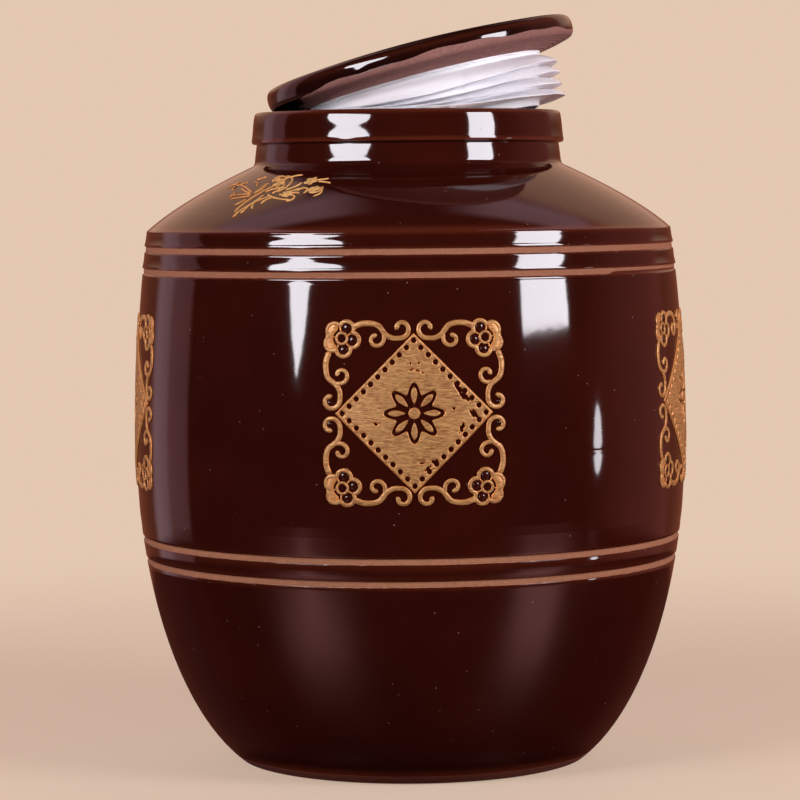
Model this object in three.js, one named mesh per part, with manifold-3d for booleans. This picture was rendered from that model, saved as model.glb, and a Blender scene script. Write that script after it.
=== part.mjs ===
// A lidded stoneware wine jar: glazed vessel, domed lid, soft finned plug and four applied relief panels.
// Millimetres, +Z up, origin at the centre of the foot. The front of the jar faces -Y.
import * as THREE from "three";
import { mergeVertices } from "three/addons/utils/BufferGeometryUtils.js";
import Module from "manifold-3d";

// Facets round the axis, straight steps along each curve, and the gap kept between pieces that touch.
const FACETS = 64;
const LOWER_WALL_STEPS = 8;
const UPPER_WALL_STEPS = 4;
const CURVE_STEPS = 4;
const SEAT_GAP = 0.3;

// Foot: a bare clay ring with a hollowed underside.
const FOOT_RADIUS = 82;
const FOOT_TOP_RADIUS = 87;
const FOOT_HEIGHT = 4.5;
const FOOT_RING_WIDTH = 18;
const FOOT_HOLLOW = 3;

// Belly: part of an ellipse below the widest height, a flat arc above it.
// The fullness is the share of the ellipse's half axis that is left beside the foot.
const BELLY_RADIUS = 130.5;
const BELLY_HEIGHT = 151.5;
const BELLY_FULLNESS = 0.39;
const EDGE_RADIUS = 124.6;
const EDGE_HEIGHT = 248.8;

// Shoulder: a dome from the rounded edge in to the neck.
const EDGE_ROUNDING = 2.6;
const EDGE_BREADTH = 1.3;
const SHOULDER_RISE = 31.6;
const SHOULDER_CROWN_INSET = 16;
const SHOULDER_CROWN_RISE = 16.6;

// Neck and collar. The bore is the mouth that the plug seals.
const BORE_RADIUS = 62.5;
const NECK_WALL = 9.2;
const NECK_FLARE = 2.1;
const NECK_HEIGHT = 11.4;
const COLLAR_WALL = 11.4;
const COLLAR_HEIGHT = 15;
const COLLAR_TAPER = 1;
const COLLAR_ROUNDING = 1.4;

// Walls of the vessel below the neck.
const WALL = 8;
const FLOOR = 9;
const FLOOR_FILLET = 12;

// Four bare bands, cut through the glaze in two pairs.
const BAND_DEPTH = 0.5;
const BAND_BEVEL = 0.3;
const BAND_WIDTH = 2.7;
const BAND_SPACING = 10.2;
const UPPER_BAND_DROP = 5.7;
const LOWER_BAND_HEIGHT = 107;

// Lid: a domed disc whose rim overhangs a flat seat for the plug.
const LID_OVERHANG = 0.4;
const LID_THICKNESS = 17.6;
const LID_EDGE_BOTTOM = 2.9;
const LID_EDGE_TOP = 13;
const LID_EDGE_INSET = 3.4;
const LID_SEAT_MARGIN = 1.2;

// The lid stands propped open: right side up, front side a little up, and shifted to the right.
const LID_TILT = THREE.MathUtils.degToRad(13.8);
const LID_LEAN = THREE.MathUtils.degToRad(2.2);
const LID_SHIFT = 8.1;

// Plug: an inverted cup with umbrella fins, a little wider than the bore so that they fold and seal.
const FIN_SQUEEZE = 1;
const FIN_REACH = 8.3;
const FIN_COUNT = 4;
const FIN_FIRST_DEPTH = 6.4;
const FIN_PITCH = 5.3;
const FIN_DROOP = 4.7;
const FIN_TIP = 1;
const PLUG_TAIL = 2.6;
const PLUG_TAPER = 5;
const PLUG_WALL = 2.6;

// Relief panels: square plates set on one corner, with a pierced rosette. They were set on by hand,
// so their turns round the jar, in degrees from the front, aren't quite a quarter each.
const PANEL_TURNS = { front: 0.8, right: 78.5, back: 180, left: -83.5 };
const PANEL_HALF_DIAGONAL = 35;
const PANEL_HEIGHT = 172.6;
const PANEL_THICKNESS = 0.8;
const ROSETTE_RADIUS = 11;
const ROSETTE_WAVE = 2.4;
const ROSETTE_PETALS = 8;
const STEPS_PER_PETAL = 4;

// Heights and radii that follow from the sizes above.
const NECK_RADIUS = BORE_RADIUS + NECK_WALL;
const NECK_BASE = { radius: NECK_RADIUS + NECK_FLARE, height: EDGE_HEIGHT + SHOULDER_RISE };
const COLLAR_RADIUS = BORE_RADIUS + COLLAR_WALL;
const COLLAR_BASE = NECK_BASE.height + NECK_HEIGHT;
const RIM_HEIGHT = COLLAR_BASE + COLLAR_HEIGHT;
const LID_RADIUS = COLLAR_RADIUS + LID_OVERHANG;
const FIN_RADIUS = BORE_RADIUS + FIN_SQUEEZE;
const PLUG_RADIUS = FIN_RADIUS - FIN_REACH;
const PLUG_DEPTH = FIN_FIRST_DEPTH + (FIN_COUNT - 1) * FIN_PITCH + PLUG_TAIL;
const BAND_CENTRES = [
  LOWER_BAND_HEIGHT - BAND_SPACING,
  LOWER_BAND_HEIGHT,
  EDGE_HEIGHT - UPPER_BAND_DROP - BAND_SPACING,
  EDGE_HEIGHT - UPPER_BAND_DROP,
];

const wasm = await Module();
wasm.setup();

// Turns a profile of [radius, height] pairs, bottom to top along the outside, round the Z axis.
function revolve(profile) {
  const points = profile.map(([radius, height]) => new THREE.Vector2(radius, height));
  return new THREE.LatheGeometry(points, FACETS).rotateX(Math.PI / 2);
}

// A closed geometry as a manifold-3d solid. Triangles that a lathe folds flat on its axis are left out.
function toSolid(geometry) {
  const bare = new THREE.BufferGeometry();
  bare.setAttribute("position", geometry.getAttribute("position"));
  bare.setIndex(geometry.index);
  const merged = mergeVertices(bare, 1e-3);
  const corners = merged.index.array;
  const kept = [];
  for (let i = 0; i < corners.length; i += 3) {
    const [a, b, c] = corners.slice(i, i + 3);
    if (a !== b && b !== c && c !== a) kept.push(a, b, c);
  }
  const vertProperties = merged.getAttribute("position").array;
  return new wasm.Manifold(new wasm.Mesh({ numProp: 3, vertProperties, triVerts: new Uint32Array(kept) }));
}

// A manifold-3d solid back as a geometry.
function toGeometry(solid) {
  const mesh = solid.getMesh();
  const geometry = new THREE.BufferGeometry();
  geometry.setAttribute("position", new THREE.BufferAttribute(new Float32Array(mesh.vertProperties), 3));
  geometry.setIndex(new THREE.BufferAttribute(new Uint32Array(mesh.triVerts), 1));
  geometry.computeVertexNormals();
  return geometry;
}

// Evenly spaced values from first to last, both included.
function spread(first, last, steps) {
  return Array.from({ length: steps + 1 }, (_, i) => first + ((last - first) * i) / steps);
}

// Points along a quadratic curve between two [radius, height] ends.
function curve(start, control, end) {
  const [a, b, c] = [start, control, end].map((p) => new THREE.Vector2(...p));
  return new THREE.QuadraticBezierCurve(a, b, c).getPoints(CURVE_STEPS).map((p) => [p.x, p.y]);
}

// Outer radius of the belly at a height. The lower ellipse starts at the top of the foot.
function bellyRadius(height) {
  if (height >= BELLY_HEIGHT) {
    const rise = (height - BELLY_HEIGHT) / (EDGE_HEIGHT - BELLY_HEIGHT);
    return BELLY_RADIUS - (BELLY_RADIUS - EDGE_RADIUS) * rise ** 2;
  }
  const fall = (BELLY_HEIGHT - height) / (BELLY_HEIGHT - FOOT_HEIGHT);
  const share = Math.sqrt(1 - (1 - BELLY_FULLNESS ** 2) * fall ** 2);
  const halfAxis = (BELLY_RADIUS - FOOT_TOP_RADIUS) / (1 - BELLY_FULLNESS);
  return BELLY_RADIUS - halfAxis * (1 - share);
}

// The outside of the wall from foot to edge, with the four bands cut into it.
function wallOutside() {
  const half = BAND_WIDTH / 2;
  const clearOfBands = (z) => BAND_CENTRES.every((centre) => Math.abs(z - centre) > BAND_WIDTH);
  const heights = [
    ...spread(FOOT_HEIGHT, BELLY_HEIGHT, LOWER_WALL_STEPS),
    ...spread(BELLY_HEIGHT, EDGE_HEIGHT, UPPER_WALL_STEPS).slice(1),
  ];
  const points = heights.filter(clearOfBands).map((z) => [bellyRadius(z), z]);
  for (const centre of BAND_CENTRES) {
    for (const side of [-1, 1]) {
      const lip = centre + side * half;
      const floor = lip - side * BAND_BEVEL;
      points.push([bellyRadius(lip), lip], [bellyRadius(floor) - BAND_DEPTH, floor]);
    }
  }
  return points.sort((p, q) => p[1] - q[1]);
}

// The rounded edge, the domed shoulder and the cone of the neck, up to the underside of the collar.
function shoulderOutside() {
  const lip = [EDGE_RADIUS, EDGE_HEIGHT];
  const corner = [EDGE_RADIUS, EDGE_HEIGHT + EDGE_BREADTH];
  const start = [EDGE_RADIUS - EDGE_BREADTH, EDGE_HEIGHT + EDGE_ROUNDING];
  const crown = [EDGE_RADIUS - SHOULDER_CROWN_INSET, EDGE_HEIGHT + SHOULDER_CROWN_RISE];
  const base = [NECK_BASE.radius, NECK_BASE.height];
  const step = [NECK_RADIUS, COLLAR_BASE - SEAT_GAP];
  return [
    ...curve(lip, corner, start).slice(1),
    ...curve(start, crown, base).slice(1),
    step,
  ];
}

// The collar outside, the flat rim that carries the lid, and the mouth's rounded lip.
function collarAndRim() {
  const round = COLLAR_ROUNDING;
  const top = COLLAR_RADIUS - COLLAR_TAPER;
  return [
    [COLLAR_RADIUS - round, COLLAR_BASE],
    [COLLAR_RADIUS, COLLAR_BASE + round],
    [top, RIM_HEIGHT - round],
    [top - round, RIM_HEIGHT],
    [BORE_RADIUS + round, RIM_HEIGHT],
    [BORE_RADIUS, RIM_HEIGHT - round],
  ];
}

// The inside from the bore down to the floor, a wall's thickness inside the outer shape.
function inside() {
  const slope = Math.hypot(NECK_BASE.radius - EDGE_RADIUS, SHOULDER_RISE);
  const inward = (WALL * SHOULDER_RISE) / slope;
  const downward = (WALL * (EDGE_RADIUS - NECK_BASE.radius)) / slope;
  const throat = [BORE_RADIUS, NECK_BASE.height - downward];
  const eave = [EDGE_RADIUS - WALL, EDGE_HEIGHT - downward];
  const crown = [EDGE_RADIUS - SHOULDER_CROWN_INSET - inward, EDGE_HEIGHT + SHOULDER_CROWN_RISE - downward];
  const turn = FLOOR + FLOOR_FILLET;
  const wall = [
    ...spread(eave[1], BELLY_HEIGHT, UPPER_WALL_STEPS).slice(1),
    ...spread(BELLY_HEIGHT, turn, LOWER_WALL_STEPS).slice(1),
  ].map((z) => [bellyRadius(z) - WALL, z]);
  const foot = [bellyRadius(turn) - WALL, FLOOR];
  const flat = [foot[0] - FLOOR_FILLET, FLOOR];
  const corner = curve(wall.at(-1), foot, flat).slice(1);
  return [...curve(throat, crown, eave), ...wall, ...corner, [0, FLOOR]];
}

function jarBody() {
  const ring = FOOT_RADIUS - FOOT_RING_WIDTH;
  const underside = [
    [0, FOOT_HOLLOW],
    [ring - FOOT_HOLLOW, FOOT_HOLLOW],
    [ring, 0],
    [FOOT_RADIUS, 0],
  ];
  return revolve([...underside, ...wallOutside(), ...shoulderOutside(), ...collarAndRim(), ...inside()]);
}

// The lid's profile in its own frame: the plug's flat seat is at height 0, the dome above it.
function lidProfile() {
  const inset = LID_RADIUS - LID_EDGE_INSET;
  const under = [inset, LID_EDGE_BOTTOM];
  const widest = [LID_RADIUS, (LID_EDGE_BOTTOM + LID_EDGE_TOP) / 2];
  const over = [inset, LID_EDGE_TOP];
  return [
    [0, 0],
    [PLUG_RADIUS + LID_SEAT_MARGIN, 0],
    ...curve(under, [LID_RADIUS, LID_EDGE_BOTTOM], widest),
    ...curve(widest, [LID_RADIUS, LID_EDGE_TOP], over).slice(1),
    ...curve(over, [inset / 2, LID_THICKNESS], [0, LID_THICKNESS]).slice(1),
  ];
}

// The plug's profile, hanging from just under the lid's seat: an open cup below, four fins outside.
function plugProfile() {
  const core = (depth) => PLUG_RADIUS - (PLUG_TAPER * depth) / PLUG_DEPTH;
  const fins = Array.from({ length: FIN_COUNT }, (_, i) => {
    const depth = FIN_FIRST_DEPTH + i * FIN_PITCH;
    return [
      [core(depth - FIN_DROOP), FIN_DROOP - depth],
      [FIN_RADIUS, FIN_TIP / 2 - depth],
      [FIN_RADIUS, -FIN_TIP / 2 - depth],
      [core(depth), -depth - FIN_TIP / 2],
    ];
  }).flat();
  const outside = [[PLUG_RADIUS, 0], ...fins, [core(PLUG_DEPTH), -PLUG_DEPTH]];
  const hollow = [
    [core(PLUG_DEPTH) - PLUG_WALL, -PLUG_DEPTH],
    [core(PLUG_WALL) - PLUG_WALL, -PLUG_WALL],
    [0, -PLUG_WALL],
  ];
  const hung = [...hollow.reverse(), ...outside.reverse(), [0, 0]];
  return hung.map(([radius, height]) => [radius, height - SEAT_GAP]);
}

// The group that tilts and leans lid and plug, lowered until the lid's underside meets the flat rim.
function proppedGroup() {
  const group = new THREE.Group();
  group.rotation.set(-LID_LEAN, -LID_TILT, 0);
  group.updateMatrix();
  const point = new THREE.Vector3();
  let lowest = Infinity;
  for (const [radius, height] of lidProfile()) {
    for (const angle of spread(0, 2 * Math.PI, FACETS)) {
      point.set(radius * Math.cos(angle), radius * Math.sin(angle), height).applyMatrix4(group.matrix);
      const overRim = Math.hypot(point.x + LID_SHIFT, point.y) > BORE_RADIUS;
      if (overRim) lowest = Math.min(lowest, point.z);
    }
  }
  group.position.set(LID_SHIFT, 0, RIM_HEIGHT + SEAT_GAP - lowest);
  group.updateMatrix();
  return group;
}

// The soft plug as it lies in the mouth: what the rim and the bore press on is folded out of the way.
function plugInMouth(group) {
  const gripped = BORE_RADIUS - SEAT_GAP;
  const beyond = LID_RADIUS + LID_SHIFT + FIN_RADIUS;
  const mouth = revolve([
    [gripped, EDGE_HEIGHT],
    [beyond, EDGE_HEIGHT],
    [beyond, RIM_HEIGHT + SEAT_GAP],
    [gripped, RIM_HEIGHT + SEAT_GAP],
    [gripped, EDGE_HEIGHT],
  ]);
  const pressed = mouth.applyMatrix4(group.matrix.clone().invert());
  return toGeometry(toSolid(revolve(plugProfile())).subtract(toSolid(pressed)));
}

// A square plate on its corner, cut from a shell that follows the belly, with a rosette pierced through.
function reliefPanel() {
  const reach = PANEL_HALF_DIAGONAL + PANEL_THICKNESS;
  const rows = spread(PANEL_HEIGHT - reach, PANEL_HEIGHT + reach, LOWER_WALL_STEPS);
  const face = (offset) => rows.map((z) => [bellyRadius(z) + offset, z]);
  const front = face(SEAT_GAP + PANEL_THICKNESS);
  const back = face(SEAT_GAP).reverse();
  const shell = revolve([...front, ...back, front[0]]);

  const tips = spread(0, 2 * Math.PI, 4).slice(1).map((angle) => {
    return new THREE.Vector2(Math.cos(angle), Math.sin(angle)).multiplyScalar(PANEL_HALF_DIAGONAL);
  });
  const square = new THREE.Shape(tips);
  const petals = spread(0, 2 * Math.PI, STEPS_PER_PETAL * ROSETTE_PETALS).slice(1).map((angle) => {
    const radius = ROSETTE_RADIUS + ROSETTE_WAVE * Math.cos(ROSETTE_PETALS * angle);
    return new THREE.Vector2(radius * Math.cos(angle), radius * Math.sin(angle));
  });
  square.holes.push(new THREE.Path(petals));
  const cutter = new THREE.ExtrudeGeometry(square, { depth: 2 * BELLY_RADIUS, bevelEnabled: false });
  cutter.rotateX(Math.PI / 2).translate(0, 0, PANEL_HEIGHT);
  return toGeometry(toSolid(shell).intersect(toSolid(cutter)));
}

const glaze = new THREE.MeshStandardMaterial({ color: "#3b150d", roughness: 0.12, metalness: 0 });
const softPlastic = new THREE.MeshStandardMaterial({ color: "#dcd9e2", roughness: 0.45, metalness: 0 });
const gilt = new THREE.MeshStandardMaterial({ color: "#c08a4a", roughness: 0.5, metalness: 0.25 });

function named(name, geometry, material) {
  const mesh = new THREE.Mesh(geometry, material);
  mesh.name = name;
  return mesh;
}

const wineJar = new THREE.Group();
wineJar.add(named("jar_body", jarBody(), glaze));

const lidGroup = proppedGroup();
lidGroup.add(named("lid", revolve(lidProfile()), glaze));
lidGroup.add(named("seal_plug", plugInMouth(lidGroup), softPlastic));
wineJar.add(lidGroup);

for (const [side, turn] of Object.entries(PANEL_TURNS)) {
  const panel = named(`medallion_panel_${side}`, reliefPanel(), gilt);
  panel.rotation.z = THREE.MathUtils.degToRad(turn);
  wineJar.add(panel);
}

export default wineJar;
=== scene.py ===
# %% [markdown]
# # A lidded stoneware wine jar
# A big-bellied jar in glossy brown glaze stands with its lid propped open on a soft finned plug.
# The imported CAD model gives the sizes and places, and this lesson dresses it: each piece is a numpy
# surface laid over its CAD solid or on the jar's wall, and each finish is a small tree of nodes.

# %% Load the frame
import bpy
import numpy as np
from mathutils import Matrix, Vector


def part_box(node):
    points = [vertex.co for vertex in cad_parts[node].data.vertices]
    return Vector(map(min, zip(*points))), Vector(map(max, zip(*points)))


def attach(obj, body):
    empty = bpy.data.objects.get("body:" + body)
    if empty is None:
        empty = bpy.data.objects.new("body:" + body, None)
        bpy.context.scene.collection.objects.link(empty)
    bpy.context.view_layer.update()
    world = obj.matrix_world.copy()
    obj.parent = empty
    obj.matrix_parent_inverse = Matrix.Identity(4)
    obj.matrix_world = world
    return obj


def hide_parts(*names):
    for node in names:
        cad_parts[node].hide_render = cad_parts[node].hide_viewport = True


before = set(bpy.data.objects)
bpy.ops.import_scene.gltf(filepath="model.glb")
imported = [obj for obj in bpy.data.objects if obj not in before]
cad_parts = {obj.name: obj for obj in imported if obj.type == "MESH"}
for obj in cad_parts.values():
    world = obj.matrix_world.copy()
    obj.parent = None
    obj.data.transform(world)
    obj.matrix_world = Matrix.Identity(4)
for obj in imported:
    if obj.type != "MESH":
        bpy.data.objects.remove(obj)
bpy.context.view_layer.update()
MM = 0.001

# %% [markdown]
# ## Camera
# A product shot like this one uses a long lens from a step and a half away, a little above the belly
# and tipped down. A long lens keeps the foot and the shoulder at nearly the same scale. The slight
# turn and roll are the picture's own, kept so that a render can be laid over it.

# %% Place the camera
CAMERA_PLACE = (0, -1.5226, 0.2698)
CAMERA_TURN, CAMERA_TILT, CAMERA_ROLL = np.radians([0.18, 86.25, -0.55])


def add_object(name, data):
    """A new object with this data, linked into the scene at the origin."""
    made = bpy.data.objects.new(name, data)
    bpy.context.scene.collection.objects.link(made)
    return made


camera = add_object("camera", bpy.data.cameras.new("camera"))
camera.data.lens = 144
camera.data.sensor_width = 36
aim = Matrix.Rotation(CAMERA_TURN, 4, "Z") @ Matrix.Rotation(CAMERA_TILT, 4, "X")
camera.matrix_world = Matrix.Translation(CAMERA_PLACE) @ aim @ Matrix.Rotation(CAMERA_ROLL, 4, "Z")
bpy.context.scene.camera = camera
bpy.context.scene.view_settings.view_transform = "Standard"
print("camera at", [round(v, 3) for v in camera.matrix_world.translation])

# %% [markdown]
# ## Colours and nodes
# Colours are written as the sRGB codes that a paint program shows, and Blender shades in linear
# light, so one function converts them. A second function adds any node at all: it sets the node's
# properties, then sets or links its inputs. Two settings that many nodes share have names of their own.

# %% Colour and node helpers
RGBA = {"data_type": "RGBA"}
EASED = {"interpolation_type": "SMOOTHSTEP"}


def linear(code):
    """An sRGB code such as #a06a4c as linear RGBA: c/12.92 in the toe, ((c+0.055)/1.055)^2.4 above it."""
    c = np.array([int(code[i : i + 2], 16) for i in (1, 3, 5)]) / 255
    light = np.where(c <= 0.04045, c / 12.92, ((c + 0.055) / 1.055) ** 2.4)
    return (*light.tolist(), 1.0)


def node(tree, kind, inputs=None, **settings):
    """Adds a shader node. Settings are its properties. An input is set to a value, or linked to a socket,
    or to a node's first output in use."""
    made = tree.nodes.new("ShaderNode" + kind)
    for key, value in settings.items():
        setattr(made, key, value)
    for key, value in (inputs or {}).items():
        if isinstance(value, bpy.types.Node):
            value = next(output for output in value.outputs if output.enabled)
        if isinstance(value, bpy.types.NodeSocket):
            tree.links.new(value, made.inputs[key])
        else:
            made.inputs[key].default_value = value
    return made


def new_material(name):
    """An empty node material and its tree."""
    material = bpy.data.materials.new(name)
    material.use_nodes = True
    material.node_tree.nodes.clear()
    return material, material.node_tree


print("glaze brown in linear light:", [round(v, 3) for v in linear("#3b150d")])

# %% [markdown]
# ## Meshes from arrays
# Most of this object is turned or drawn, so most pieces are stacks of closed rings: a lathe turns a
# profile, and a ridge carries a small section along a path. Rings join into quads, and single points
# close the two ends. The signed volume tells whether the faces look outwards.


# %% Mesh helpers
def ring_part(rings, start=None, end=None):
    """Quads between neighbouring rings of a rows x columns x 3 array, each ring closed on itself.
    The points start and end close the first and last ring. Without them the last ring joins the first."""
    rows, columns = rings.shape[:2]
    index = np.arange(rows * columns).reshape(rows, columns)
    low = index if start is None else index[:-1]
    high = np.roll(index, -1, 0) if start is None else index[1:]
    quads = np.stack([low, np.roll(low, -1, 1), np.roll(high, -1, 1), high], -1).reshape(-1, 4)
    points = rings.reshape(-1, 3)
    fans = np.empty((0, 3), int)
    if start is not None:
        points = np.vstack([points, start, end])
        pole = np.full(columns, rows * columns)
        first = np.stack([pole, np.roll(index[0], -1), index[0]], -1)
        last = np.stack([pole + 1, index[-1], np.roll(index[-1], -1)], -1)
        fans = np.vstack([first, last])
    return points, quads, fans


def outward(points, quads, fans):
    """Signed volume is the sum of a . (b x c) / 6 over the triangles. If negative, the faces turn round."""
    triangles = np.vstack([quads[:, [0, 1, 2]], quads[:, [0, 2, 3]], fans])
    a, b, c = points[triangles].transpose(1, 0, 2)
    inside_out = np.einsum("ij,ij->i", a, np.cross(b, c)).sum() < 0
    return (quads[:, ::-1], fans[:, ::-1]) if inside_out else (quads, fans)


def make_piece(name, parts, material, body, slot, **attributes):
    """Joins parts, in millimetres, into one smooth mesh object that rides on a body. Each further keyword
    is an attribute with a value for every point."""
    firsts = np.cumsum([0] + [len(points) for points, _, _ in parts])
    faces = []
    for first, part in zip(firsts, parts):
        quads, fans = outward(*part)
        faces += (quads + first).tolist() + (fans + first).tolist()
    mesh = bpy.data.meshes.new(name)
    mesh.from_pydata((np.vstack([points for points, _, _ in parts]) * MM).tolist(), [], faces)
    mesh.shade_smooth()
    for key, values in attributes.items():
        values = np.asarray(values, dtype=np.float32)
        kind, field = ("FLOAT", "value") if values.ndim == 1 else ("FLOAT_VECTOR", "vector")
        mesh.attributes.new(key, kind, "POINT").data.foreach_set(field, values.ravel())
    mesh.materials.append(material)
    piece = add_object(name, mesh)
    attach(piece, body)
    print(name, "has", sum(len(face) - 2 for face in faces), "triangles")
    return piece


# %% [markdown]
# ## Curves of the profile
# A potter's profile is a chain of easy curves. A quadratic curve from one point to the next, pulled
# towards a third, gives each rounded edge, the shoulder's dome and the hollow of the neck. Beads, lips
# and other small swellings are bell curves.


# %% Curve and lathe helpers
def bell(x, middle, breadth):
    """exp(-((x - middle) / breadth)^2): 1 in the middle, about a third one breadth away from it."""
    return np.exp(-(((x - middle) / breadth) ** 2))


def bend(start, control, end, count):
    """(1-t)^2 start + 2t(1-t) control + t^2 end at count even steps, without the first point."""
    t = np.linspace(0, 1, count + 1)[1:, None]
    start, control, end = np.array(start), np.array(control), np.array(end)
    return (1 - t) ** 2 * start + 2 * t * (1 - t) * control + t**2 * end


def full_turn(count):
    """Even angles from 0 up to, and without, a full turn."""
    return np.linspace(0, 2 * np.pi, count, endpoint=False)


def round_z(radius, angle, height):
    """Points at a radius, an angle from the front and a height: x = r sin a, y = -r cos a, z = height."""
    return np.stack(np.broadcast_arrays(radius * np.sin(angle), -radius * np.cos(angle), height), -1)


def lathe(profile, columns):
    """Rows of (radius, height) turned round Z. The first and the last row lie on the axis."""
    radius, height = profile[1:-1].T[:, :, None]
    rings = round_z(radius, full_turn(columns), height)
    return ring_part(rings, [0, 0, profile[0, 1]], [0, 0, profile[-1, 1]])


def over_rows(rows, columns):
    """One value per profile row, repeated round its ring, with the two ends' own values at the end."""
    return np.concatenate([np.repeat(rows[1:-1], columns), rows[[0, -1]]])


print("the middle of a quarter bend:", bend((0, 0), (1, 0), (1, 1), 2)[0].tolist())

# %% [markdown]
# ## Brown glaze on stoneware
# The jar was dipped in an iron-brown glaze and fired until it ran to a glassy coat. Such a coat
# mirrors the lamps with crisp edges, deepens to near black where it lies thick, and breaks to rust
# where it pulls thin over an edge. Bands, foot and rim were wiped bare, so dull grainy clay shows.
# The mesh carries two attributes: how far a point lies inside bare clay, in millimetres, and how thin
# the glaze is, which on bare clay tells how far the clay is darkened. A little noise moves the border,
# as a wiped edge is never quite even.


# %% Glazed stoneware material
def glazed_stoneware(name, glaze_dark, glaze_pale, clay_dark, clay_pale):
    """Iron-brown glaze, dipped and fired glossy, over clay that shows where bare_mm is positive."""
    material, tree = new_material(name)
    place = node(tree, "TexCoord").outputs["Object"]
    bare = node(tree, "Attribute", attribute_name="bare_mm").outputs["Fac"]
    thin = node(tree, "Attribute", attribute_name="thin_glaze").outputs["Fac"]

    # Wiped edges wander by about a quarter of a millimetre over 5 mm.
    wander = node(tree, "TexNoise", {"Vector": place, "Scale": 1 / 0.005, "Detail": 3.0})
    shift = node(tree, "Math", {0: wander, 1: 0.5, 2: -0.25}, operation="MULTIPLY_ADD")
    edge = node(tree, "Math", {0: bare, 1: shift}, operation="ADD")
    clay = node(tree, "MapRange", {"Value": edge, "From Min": -0.12, "From Max": 0.12}, **EASED)

    # Pools of thick and thin glaze some 40 mm across, and iron specks of 1.2 mm.
    pools = node(tree, "TexNoise", {"Vector": place, "Scale": 1 / 0.04, "Detail": 2.0})
    deep = node(tree, "Mix", {0: pools, 6: linear(glaze_dark), 7: linear(glaze_pale)}, **RGBA)
    broken = node(tree, "Mix", {0: thin, 6: deep, 7: linear("#642a18")}, **RGBA)
    iron = node(tree, "TexVoronoi", {"Vector": place, "Scale": 1 / 0.006})
    fade = {"Value": iron, "From Min": 0.05, "From Max": 0.13, "To Min": 0.55, "To Max": 0.0}
    speck = node(tree, "MapRange", fade)
    spotted = node(tree, "Mix", {0: speck, 6: broken, 7: linear("#160603")}, **RGBA)

    # Dust specks of about half a millimetre.
    motes = node(tree, "TexVoronoi", {"Vector": place, "Scale": 1 / 0.007})
    fade = {"Value": motes, "From Min": 0.025, "From Max": 0.055, "To Min": 0.5, "To Max": 0.0}
    dust = node(tree, "MapRange", fade)
    glaze = node(tree, "Mix", {0: dust, 6: spotted, 7: linear("#a5908a")}, **RGBA)

    # Clay grit of 0.8 mm, drawn a little coarse so that it shows.
    grit = node(tree, "TexNoise", {"Vector": place, "Scale": 1 / 0.0016, "Detail": 4.0})
    earth = node(tree, "Mix", {0: grit, 6: linear(clay_dark), 7: linear(clay_pale)}, **RGBA)
    # On bare clay the thin_glaze attribute darkens the clay towards a deep red-brown. On the upper bands
    # this is painted shade.
    clay_darkening = node(tree, "Mix", {0: thin, 6: earth, 7: linear("#6e3524")}, **RGBA)
    colour = node(tree, "Mix", {0: clay, 6: glaze, 7: clay_darkening}, **RGBA)
    rough = node(tree, "MapRange", {"Value": clay, "To Min": 0.06, "To Max": 0.85})

    # The fired skin swells and dips by hundredths of a millimetre over 14 mm, which bends the reflections.
    skin = node(tree, "TexNoise", {"Vector": place, "Scale": 1 / 0.014, "Detail": 2.0, "Roughness": 0.35})
    ripple = node(tree, "Bump", {"Height": skin, "Strength": 0.5, "Distance": 0.0001})
    grain = node(tree, "Math", {0: grit, 1: clay}, operation="MULTIPLY")
    relief = node(tree, "Bump", {"Height": grain, "Strength": 0.6, "Distance": 0.0004, "Normal": ripple})

    look = {"Base Color": colour, "Roughness": rough, "Normal": relief, "IOR": 1.5}
    surface = node(tree, "BsdfPrincipled", look)
    node(tree, "OutputMaterial", {"Surface": surface})
    return material


jar_glaze = glazed_stoneware("brown_glaze_dipped_stoneware", "#240804", "#380f08", "#8d5a3f", "#b27a57")
# The lid's glaze is a darker copy of the jar's. This is partly its own brushed coat and partly painted shade
# that keeps the lamp-lit top of the lid dark.
lid_glaze = glazed_stoneware("brown_glaze_brushed_lid", "#170504", "#230a06", "#6b463f", "#9e6c62")
print("materials:", jar_glaze.name, lid_glaze.name)

# %% [markdown]
# ## The vessel's wall
# The wall was thrown as part of an ellipse below its widest height and a flat arc above it. Two pairs
# of bands were scraped through the wet glaze, which left a groove with a soft lip and a bead of glaze
# beside it. The strips between and above the upper bands lean back, and a faint groove at the widest
# height shows where the two halves were joined. All of it is radius as a function of height.

# %% Sizes and the wall's formula
FOOT_RADIUS, FOOT_TOP, FOOT_HEIGHT, FOOT_HOLLOW = 82.0, 87.0, 4.5, 3.0
BELLY_RADIUS, BELLY_HEIGHT, BELLY_FULLNESS = 130.5, 151.5, 0.39
EDGE_RADIUS, EDGE_HEIGHT = 124.2, 250.8
BANDS = np.array([96.8, 107.0, 232.9, 243.1])
BAND_HALF, BAND_DEPTH, BAND_LIP = 1.35, 0.5, 0.14
# Two strips as bottom and top, one between the upper bands and one above. Below them the wall leans in.
STRIPS = ((BANDS[2] + 1.4, BANDS[3] - 1.4), (BANDS[3] + 1.4, EDGE_HEIGHT + 0.7))
STRIP_LEAN, STRIP_RIPPLE, LEAN_START = 0.36, 0.04, 228.0
SEAM_HEIGHT, SEAM_DEPTH, SEAM_BREADTH = 153.0, 0.1, 0.8
# Throwing ridges as height, swelling and breadth.
THROWN = ((117.5, 0.12, 1.6), (122.0, 0.1, 1.4))


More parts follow.
